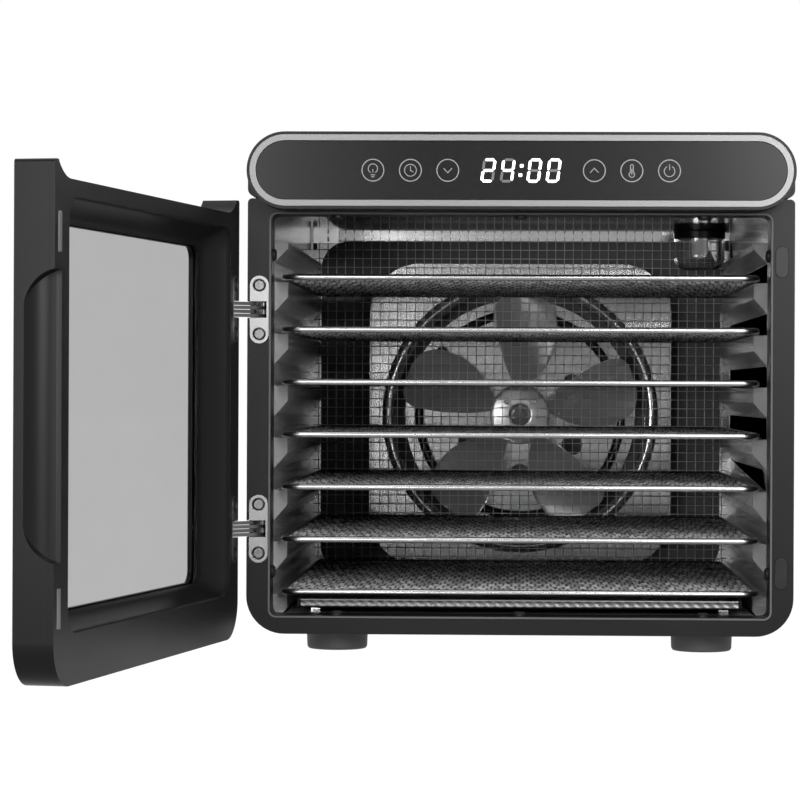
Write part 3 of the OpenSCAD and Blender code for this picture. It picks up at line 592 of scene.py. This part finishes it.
def make_bezel():
    """The recess from the inner face to the glass, hollowed like a cove. It is drawn on the closed door, from
    the CAD bezel swung shut, and swung open again."""
    joint = next(j for j in frame["record"]["behaviour"]["joints"] if j["name"] == "door_hinge")
    turn = Matrix.Rotation(math.radians(joint["range_deg"][0]), 3, "Z")
    origin = at(0, 0, 0)
    hinge = (Vector(joint["pos_m"]) - origin) / MM
    hinge.z = 0
    points = [(vertex.co - origin) / MM for vertex in frame["nodes"]["window_bezel"].data.vertices]
    points = [hinge + turn.transposed() @ (point - hinge) for point in points]
    front, back = max(p.y for p in points), min(p.y for p in points)

    # The rim is the CAD bezel's outline in front, and the sill its opening at the glass, as x0, x1, z0, z1
    # and corner radius
    outer = [p for p in points if p.y > front - 0.05]
    inner = [p for p in points if p.y < back + 0.05]
    middle_x, middle_z = sum(p.x for p in outer) / len(outer), sum(p.z for p in outer) / len(outer)
    across, upright = [p.x for p in outer], [p.z for p in outer]
    rim = [min(across), max(across), min(upright), max(upright), 11.9]
    lap = 0.2
    sill = [
        max(p.x for p in inner if p.x < middle_x) - lap,
        min(p.x for p in inner if p.x > middle_x) + lap,
        max(p.z for p in inner if p.z < middle_z) - lap,
        min(p.z for p in inner if p.z > middle_z) + lap,
        8.2,
    ]
    rim_y, glass_y = front - 0.2, back - 0.1
    hollow, sheet, steps = 1.7, 0.1, 10
    verts, faces, rings = [], [], []

    def ring(t, drop, grow):
        size = [a + (b - a) * t for a, b in zip(rim, sill)]
        size = [size[0] - grow, size[1] + grow, size[2] - grow, size[3] + grow, size[4] + grow]
        y = rim_y + (glass_y - rim_y) * drop
        return [(x, y, z) for x, z in rounded_loop(*size)]

    for i in range(steps + 1):
        t = i / steps
        rings.append(ring(t, 1 - (1 - t) ** hollow, 0))
    for i in reversed(range(steps + 1)):
        t = i / steps
        drop = min(0.999, 1 - (1 - t) ** hollow + sheet)
        rings.append(ring(t, drop, 0 if i == 0 else 0.05))
    count = len(rings[0])
    for loop in rings:
        for x, y, z in loop:
            local = hinge + turn @ (Vector((x, y, z)) - hinge)
            verts.append(at(local.x, local.y, local.z))
    for i in range(len(rings)):
        k = (i + 1) % len(rings)
        for j in range(count):
            m = (j + 1) % count
            faces.append((i * count + j, i * count + m, k * count + m, k * count + j))
    mesh = as_mesh("bezel_cove", verts, faces)
    face_outward(mesh, merge=0.002 * MM)
    cove = piece("bezel_cove", mesh, FINISHES["black_plastic"], "door", smooth=True)
    weigh_normals(cove)
    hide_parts("window_bezel")


# ---- fan ----

# Across each blade, by radius: the two edges' offsets from the blade's centre line
BLADE = [
    (15, -2.5, 2.5),
    (23, -6, 5),
    (32, -19, 10.5),
    (50, -29.5, 16.5),
    (64, -31, 19.5),
    (76, -29.5, 21),
    (84, -25, 20),
    (88.5, -18, 15.5),
    (90.5, -9, 9.5),
]
BLADE_COUNT = 5
# The blades' pitch in degrees at the shaft, and how much less it is at the radius TIP
ROOT_PITCH, TWIST, TIP = 29, 13, 90
# How deep they are cupped, from which radius, and over how much of it that depth is reached
CUP_DEEP, CUP_START, CUP_RISE = 2.2, 24, 20
# How far the shaft's tip stands in front of the blades' middle plane
SHAFT_PROUD = 5


def blade_points(turn, centre):
    """Rows of points of one twisted, cupped blade, from its hub to its tip."""
    rows = []
    for radius, low, high in BLADE:
        pitch = math.radians(ROOT_PITCH - TWIST * radius / TIP)
        row = []
        for i in range(9):
            t = i / 8
            z = low + (high - low) * t
            cup = CUP_DEEP * (1 - (2 * t - 1) ** 2) * min(1.0, max(0.0, radius - CUP_START) / CUP_RISE)
            local = Vector((radius, -z * math.sin(pitch) + cup, z * math.cos(pitch)))
            row.append(centre + Matrix.Rotation(turn, 3, "Y") @ local)
        rows.append(row)
    return rows


def make_fan():
    low, high = extent("motor_shaft")
    centre = Vector(((low.x + high.x) / 2, low.y + SHAFT_PROUD, (low.z + high.z) / 2))
    origin = at(0, 0, 0)
    verts, faces = [], []
    for k in range(BLADE_COUNT):
        start = len(verts)
        rows = blade_points(math.radians(-18 - 360 * k / BLADE_COUNT), centre)
        verts.extend(p for row in rows for p in row)
        wide = len(rows[0])
        for i in range(len(rows) - 1):
            for j in range(wide - 1):
                a = start + i * wide + j
                faces.append((a, a + wide, a + wide + 1, a + 1))
    blades = as_mesh("fan_blades", [origin + v * MM for v in verts], faces)
    made = piece("fan_blades", blades, FINISHES["fan_steel"], "fan_rotor", smooth=True)
    solid = made.modifiers.new("sheet", "SOLIDIFY")
    solid.thickness = 0.8 * MM
    solid.offset = 0
    rounder = made.modifiers.new("rounder", "SUBSURF")
    rounder.levels = rounder.render_levels = 2

    # The hub plate: a domed disc with four holes, turned about the shaft
    outline = [(3.1, -0.4), (6.4, -0.4), (8.2, -3.6), (9.4, -4.0), (20.5, -3.7)]
    outline += [(22.6, -2.6), (22.6, -1.6), (9, 1.6), (8, 10), (3.1, 10)]
    bm = bmesh.new()
    loop = [bm.verts.new((r, y, 0)) for r, y in outline]
    edges = [bm.edges.new((loop[i], loop[(i + 1) % len(loop)])) for i in range(len(loop))]
    bmesh.ops.spin(
        bm,
        geom=loop + edges,
        cent=(0, 0, 0),
        axis=(0, 1, 0),
        angle=2 * math.pi,
        steps=64,
        use_merge=True,
        use_duplicate=False,
    )
    bmesh.ops.remove_doubles(bm, verts=bm.verts, dist=0.001)
    bmesh.ops.recalc_face_normals(bm, faces=bm.faces)
    hub = bpy.data.meshes.new("fan_hub")
    bm.to_mesh(hub)
    bm.free()
    hub.transform(Matrix.Translation(origin) @ Matrix.Scale(MM, 4) @ Matrix.Translation(centre))
    plate = piece("fan_hub", hub, FINISHES["fan_steel"], "fan_rotor", smooth=True)
    hole_circle, hole_radius, hole_depth = 14, 2.1, 12
    for k in range(4):
        angle = math.radians(45 + 90 * k)
        spot = centre + Vector((hole_circle * math.cos(angle), 0, hole_circle * math.sin(angle)))
        bpy.ops.mesh.primitive_cylinder_add(
            vertices=32, radius=hole_radius * MM, depth=hole_depth * MM, location=origin + spot * MM
        )
        drill = bpy.context.object
        drill.rotation_euler = (math.pi / 2, 0, 0)
        bpy.context.view_layer.update()
        hole = plate.modifiers.new("hole", "BOOLEAN")
        hole.operation = "DIFFERENCE"
        hole.solver = "EXACT"
        hole.object = drill
        bpy.context.view_layer.objects.active = plate
        bpy.ops.object.modifier_apply(modifier=hole.name)
        bpy.data.objects.remove(drill)
    round_edges(plate, 0.25, 2, SHARP)
    weigh_normals(plate)
    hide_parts("fan_impeller")
    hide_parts("fan_impeller")


# ---- marks on the control panel ----

PANEL_LOW, PANEL_HIGH = extent("panel_glass")
PANEL_Z = (PANEL_LOW.z + PANEL_HIGH.z) / 2
MARK_THICK = 0.06
STROKE = 0.52


def stroke(points, width, closed=False):
    """A flat ribbon along points (x, z), as an outline of quads with mitred corners."""
    count = len(points)
    left, right = [], []
    for i, point in enumerate(points):
        before = points[i - 1] if closed or i else point
        after = points[(i + 1) % count] if closed or i < count - 1 else point
        a = Vector((point[0] - before[0], point[1] - before[1]))
        b = Vector((after[0] - point[0], after[1] - point[1]))
        a = a.normalized() if a.length else b.normalized()
        b = b.normalized() if b.length else a
        tangent = (a + b).normalized()
        normal = Vector((-tangent.y, tangent.x))
        reach = width / 2 / max(0.4, normal.dot(Vector((-a.y, a.x))))
        left.append((point[0] + normal.x * reach, point[1] + normal.y * reach))
        right.append((point[0] - normal.x * reach, point[1] - normal.y * reach))
    shapes = []
    for i in range(count if closed else count - 1):
        j = (i + 1) % count
        shapes.append([left[i], left[j], right[j], right[i]])
    return shapes


def arc(cx, cz, radius, start, end, steps=40):
    """Points on a circle, from one angle to another in degrees."""
    turns = [math.radians(start + (end - start) * i / steps) for i in range(steps + 1)]
    return [(cx + radius * math.cos(t), cz + radius * math.sin(t)) for t in turns]


def mark(name, shapes, material):
    """Thin raised marks on the panel's face, from outlines in x and z about the panel's middle."""
    face_y = PANEL_LOW.y
    verts, faces = [], []
    for shape in shapes:
        start, count = len(verts), len(shape)
        for y in (face_y - MARK_THICK, face_y + 0.01):
            verts.extend(at(x, y, PANEL_Z + z) for x, z in shape)
        faces.append(tuple(range(start, start + count)))
        faces.append(tuple(start + count + i for i in reversed(range(count))))
        for i in range(count):
            j = (i + 1) % count
            faces.append((start + i, start + count + i, start + count + j, start + j))
    mesh = as_mesh(name, verts, faces)
    face_outward(mesh)
    return piece(name, mesh, material, "cabinet")


# The seven segments of a digit, and which of them each figure lights
SEGMENTS = {
    "top": ((0, 1), (1, 1)),
    "upper_left": ((0, 0.5), (0, 1)),
    "upper_right": ((1, 0.5), (1, 1)),
    "middle": ((0, 0.5), (1, 0.5)),
    "lower_left": ((0, 0), (0, 0.5)),
    "lower_right": ((1, 0), (1, 0.5)),
    "bottom": ((0, 0), (1, 0)),
}
FIGURES = {
    "2": {"top", "upper_right", "middle", "lower_left", "bottom"},
    "4": {"upper_left", "upper_right", "middle", "lower_right"},
    "0": {"top", "upper_left", "upper_right", "lower_left", "lower_right", "bottom"},
}
DIGIT_WIDE, DIGIT_TALL, DIGIT_STROKE, DIGIT_SLANT, DIGIT_GAP = 6.6, 13.4, 1.6, 0.13, 0.25


def segment(x0, start, end):
    """One pointed bar of a digit whose left edge is at x0."""
    ax, az = start[0] * DIGIT_WIDE, start[1] * DIGIT_TALL
    bx, bz = end[0] * DIGIT_WIDE, end[1] * DIGIT_TALL
    along = Vector((bx - ax, bz - az)).normalized()
    side = Vector((-along.y, along.x)) * DIGIT_STROKE / 2
    gap = along * DIGIT_GAP
    tip = along * DIGIT_STROKE / 2
    a, b = Vector((ax, az)) + gap, Vector((bx, bz)) - gap
    shape = [a, a + tip + side, b - tip + side, b, b - tip - side, a + tip - side]
    return [(x0 + p.x + (p.y - DIGIT_TALL / 2) * DIGIT_SLANT, p.y - DIGIT_TALL / 2) for p in shape]


def make_display():
    lit, unlit = [], []
    for figure, x0 in (("2", -23.6), ("4", -11.6), ("0", 5.0), ("0", 17.0)):
        for name, (start, end) in SEGMENTS.items():
            (lit if name in FIGURES[figure] else unlit).append(segment(x0, start, end))
    for z in (-2.9, 2.9):
        x = z * DIGIT_SLANT
        lit.append([(x + a, z + b) for a, b in ((-1, -1), (1, -1), (1, 1), (-1, 1))])
    mark("digits_lit", lit, DIGIT_LIGHT)
    mark("digits_unlit", unlit, DIGIT_DARK)


# Distances of the touch keys from the panel's middle
INNER_KEY, MIDDLE_KEY, OUTER_KEY = 45.6, 68.9, 92.3


def make_icons():
    """Light, clock and down on the left; up, thermometer and power on the right."""
    ring_radius, ring_stroke = 6.8, 0.6
    drawings = {
        "light": (-OUTER_KEY, [
            (arc(0, 1.0, 2.9, -60, 240), False),
            ([(-1.4, -2.9), (1.4, -2.9)], False),
            ([(-1.0, -4.1), (1.0, -4.1)], False),
            ([(0, -1.5), (0, 0.6)], False),
        ]),
        "clock": (-MIDDLE_KEY, [
            (arc(0, 0, 3.7, 0, 351), True),
            ([(0, 2.4), (0, 0), (1.8, -1.2)], False),
        ]),
        "down": (-INNER_KEY, [([(-2.6, 1.3), (0, -1.5), (2.6, 1.3)], False)]),
        "up": (INNER_KEY, [([(-2.6, -1.3), (0, 1.5), (2.6, -1.3)], False)]),
        "thermometer": (MIDDLE_KEY, [
            (arc(0, -2.4, 1.7, 120, 420, 30) + arc(0, 3.0, 0.85, 0, 180, 12), True),
            ([(0, -2.6), (0, 1.2)], False),
        ]),
        "power": (OUTER_KEY, [
            (arc(0, -0.3, 3.3, 118, 422), False),
            ([(0, 0.4), (0, 4.0)], False),
        ]),
    }
    for name, (x, lines) in drawings.items():
        shapes = stroke(arc(x, 0, ring_radius, 0, 352, 44), ring_stroke, closed=True)
        for points, closed in lines:
            shapes += stroke([(x + a, b) for a, b in points], STROKE, closed)
        mark(f"icon_{name}", shapes, ICON_PRINT)


# ---- everything together ----

make_camera()
make_studio()
for part in frame["record"]["subparts"]:
    dress(frame["nodes"][part["node"]], part["material_slot"])
make_trays()
make_drip_tray()
make_guard()
make_bezel()
make_fan()
make_display()
make_icons()
